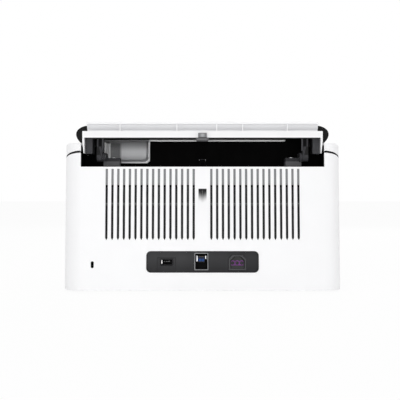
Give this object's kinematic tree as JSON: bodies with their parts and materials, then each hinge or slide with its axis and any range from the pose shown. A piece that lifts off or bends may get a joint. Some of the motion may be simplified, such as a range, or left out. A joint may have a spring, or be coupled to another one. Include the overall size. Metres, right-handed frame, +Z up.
{
  "type": "sheet-fed document scanner",
  "caption": "Desktop sheet-fed scanner with a folding paper tray, an opening hatch over the paper path, sliding trays, feed rollers and push buttons.",
  "frame": {"origin": "middle of the body's footprint, on the surface that the scanner stands on", "axes": "front towards -Y, rear with the sockets towards +Y, +X to the right as seen from the front, +Z up"},
  "size_m": [0.31, 0.198, 0.19],
  "materials": {
    "white_plastic": "fine satin grain",
    "light_grey_plastic": "satin",
    "dark_grey_plastic": "satin",
    "black_plastic": "fine matt grain",
    "blue_plastic": "semi gloss",
    "purple_plastic": "semi gloss",
    "green_board": "satin",
    "natural_plastic": "satin",
    "foot_rubber": "matt",
    "plated_steel": "plated",
    "scan_glass": "polished"
  },
  "bodies": {
    "base": {"rear_cover": "white_plastic", "base_plate": "dark_grey_plastic", "foot_front_left": "foot_rubber", "foot_front_right": "foot_rubber", "foot_rear_left": "foot_rubber", "foot_rear_right": "foot_rubber", "port_panel": "dark_grey_plastic", "data_socket": "plated_steel", "data_socket_tongue": "blue_plastic", "service_socket": "dark_grey_plastic", "power_inlet": "black_plastic", "power_inlet_insert": "purple_plastic", "main_board": "green_board", "side_plate_left": "plated_steel", "side_plate_right": "plated_steel", "lower_paper_guide": "black_plastic", "lower_scan_bar": "black_plastic", "lower_scan_glass": "scan_glass", "motor": "plated_steel", "motor_belt": "foot_rubber", "exit_belt": "foot_rubber"},
    "hatch": {"hatch_shell": "white_plastic", "paper_tub": "black_plastic", "bay_trim": "light_grey_plastic", "hinge_bracket_left": "dark_grey_plastic", "hinge_bracket_right": "dark_grey_plastic", "tray_hinge_pin_left": "plated_steel", "tray_hinge_pin_right": "plated_steel", "upper_paper_guide": "black_plastic", "upper_scan_bar": "black_plastic", "upper_scan_glass": "scan_glass", "control_bezel": "dark_grey_plastic"},
    "tray": {"tray_arm_left": "dark_grey_plastic", "tray_arm_right": "dark_grey_plastic", "tray_frame": "white_plastic", "tray_tab": "light_grey_plastic", "tray_lid": "white_plastic", "tray_cheek_left": "black_plastic", "tray_cheek_right": "black_plastic", "tray_pan": "black_plastic"},
    "tray_extension": {"tray_extension": "dark_grey_plastic"},
    "width_guide_left": {"width_guide_left": "dark_grey_plastic"},
    "width_guide_right": {"width_guide_right": "dark_grey_plastic"},
    "guide_pinion": {"guide_pinion": "natural_plastic"},
    "output_tray": {"output_tray": "dark_grey_plastic"},
    "output_extension": {"output_extension": "dark_grey_plastic"},
    "paper_stop": {"paper_stop": "dark_grey_plastic"},
    "button_1": {"button_1": "light_grey_plastic"},
    "button_2": {"button_2": "light_grey_plastic"},
    "button_3": {"button_3": "light_grey_plastic"},
    "button_4": {"button_4": "light_grey_plastic"},
    "drive_roller": {"drive_roller": "foot_rubber"},
    "pick_roller": {"pick_roller": "foot_rubber"},
    "idler_gear": {"idler_gear": "natural_plastic"},
    "exit_roller": {"exit_roller": "foot_rubber"},
    "motor_rotor": {"motor_rotor": "plated_steel"},
    "separation_roller": {"separation_roller": "foot_rubber"},
    "upper_pinch_roller": {"upper_pinch_roller": "natural_plastic"},
    "exit_pinch_roller": {"exit_pinch_roller": "natural_plastic"}
  },
  "joints": [
    {"name": "hatch_hinge", "type": "hinge", "parent": "base", "child": "hatch", "pos_m": [0, -0.0897, 0.036], "axis": [1, 0, 0], "range_deg": [0, 38]},
    {"name": "tray_hinge", "type": "hinge", "parent": "hatch", "child": "tray", "pos_m": [0, 0.08202, 0.15], "axis": [-1, 0, 0], "range_deg": [0, 118]},
    {"name": "tray_extension_slide", "type": "slide", "parent": "tray", "child": "tray_extension", "axis": [0, -1, 0], "range_m": [0, 0.08]},
    {"name": "width_guide_left_slide", "type": "slide", "parent": "tray", "child": "width_guide_left", "axis": [1, 0, 0], "range_m": [0, 0.05]},
    {"name": "width_guide_right_slide", "type": "slide", "parent": "tray", "child": "width_guide_right", "axis": [-1, 0, 0], "range_m": [0, 0.05]},
    {"name": "guide_pinion_spin", "type": "hinge", "parent": "tray", "child": "guide_pinion", "pos_m": [0, -0.015, 0.1563], "axis": [0, 0, 1], "range_deg": [0, 360]},
    {"name": "output_tray_slide", "type": "slide", "parent": "base", "child": "output_tray", "axis": [0, -1, 0], "range_m": [0, 0.07]},
    {"name": "output_extension_slide", "type": "slide", "parent": "output_tray", "child": "output_extension", "axis": [0, -1, 0], "range_m": [0, 0.06]},
    {"name": "paper_stop_hinge", "type": "hinge", "parent": "output_extension", "child": "paper_stop", "pos_m": [0, -0.089, 0.0106], "axis": [1, 0, 0], "range_deg": [0, 92]},
    {"name": "button_1_press", "type": "slide", "parent": "hatch", "child": "button_1", "axis": [0, 0.9872, -0.1595], "range_m": [0, 0.0008], "stiffness_N_per_m": 700, "springref_m": -0.0006},
    {"name": "button_2_press", "type": "slide", "parent": "hatch", "child": "button_2", "axis": [0, 0.9872, -0.1595], "range_m": [0, 0.0008], "stiffness_N_per_m": 700, "springref_m": -0.0006},
    {"name": "button_3_press", "type": "slide", "parent": "hatch", "child": "button_3", "axis": [0, 0.9872, -0.1595], "range_m": [0, 0.0008], "stiffness_N_per_m": 700, "springref_m": -0.0006},
    {"name": "button_4_press", "type": "slide", "parent": "hatch", "child": "button_4", "axis": [0, 0.9872, -0.1595], "range_m": [0, 0.0008], "stiffness_N_per_m": 700, "springref_m": -0.0006},
    {"name": "drive_roller_spin", "type": "hinge", "parent": "base", "child": "drive_roller", "pos_m": [0, 0.05788, 0.08539], "axis": [1, 0, 0], "continuous": true},
    {"name": "pick_roller_spin", "type": "hinge", "parent": "base", "child": "pick_roller", "pos_m": [0, 0.07388, 0.1131], "axis": [1, 0, 0], "continuous": true},
    {"name": "idler_gear_spin", "type": "hinge", "parent": "base", "child": "idler_gear", "pos_m": [0, 0.06588, 0.09924], "axis": [1, 0, 0], "continuous": true},
    {"name": "exit_roller_spin", "type": "hinge", "parent": "base", "child": "exit_roller", "pos_m": [0, -0.03831, 0.02541], "axis": [1, 0, 0], "continuous": true},
    {"name": "motor_rotor_spin", "type": "hinge", "parent": "base", "child": "motor_rotor", "pos_m": [0, 0.07241, 0.039], "axis": [1, 0, 0], "continuous": true},
    {"name": "separation_roller_spin", "type": "hinge", "parent": "hatch", "child": "separation_roller", "pos_m": [0, 0.05873, 0.12185], "axis": [1, 0, 0], "continuous": true},
    {"name": "upper_pinch_roller_spin", "type": "hinge", "parent": "hatch", "child": "upper_pinch_roller", "pos_m": [0, 0.04532, 0.09264], "axis": [1, 0, 0], "continuous": true},
    {"name": "exit_pinch_roller_spin", "type": "hinge", "parent": "hatch", "child": "exit_pinch_roller", "pos_m": [0, -0.04121, 0.03705], "axis": [1, 0, 0], "continuous": true}
  ],
  "couplings": [
    {"joint": "width_guide_right_slide", "follows": "width_guide_left_slide", "ratio": 1},
    {"joint": "guide_pinion_spin", "follows": "width_guide_left_slide", "rad_per_m": 125},
    {"joint": "pick_roller_spin", "follows": "drive_roller_spin", "ratio": 1},
    {"joint": "idler_gear_spin", "follows": "drive_roller_spin", "ratio": -1},
    {"joint": "exit_roller_spin", "follows": "drive_roller_spin", "ratio": 1.2143},
    {"joint": "motor_rotor_spin", "follows": "drive_roller_spin", "ratio": 2.4}
  ]
}
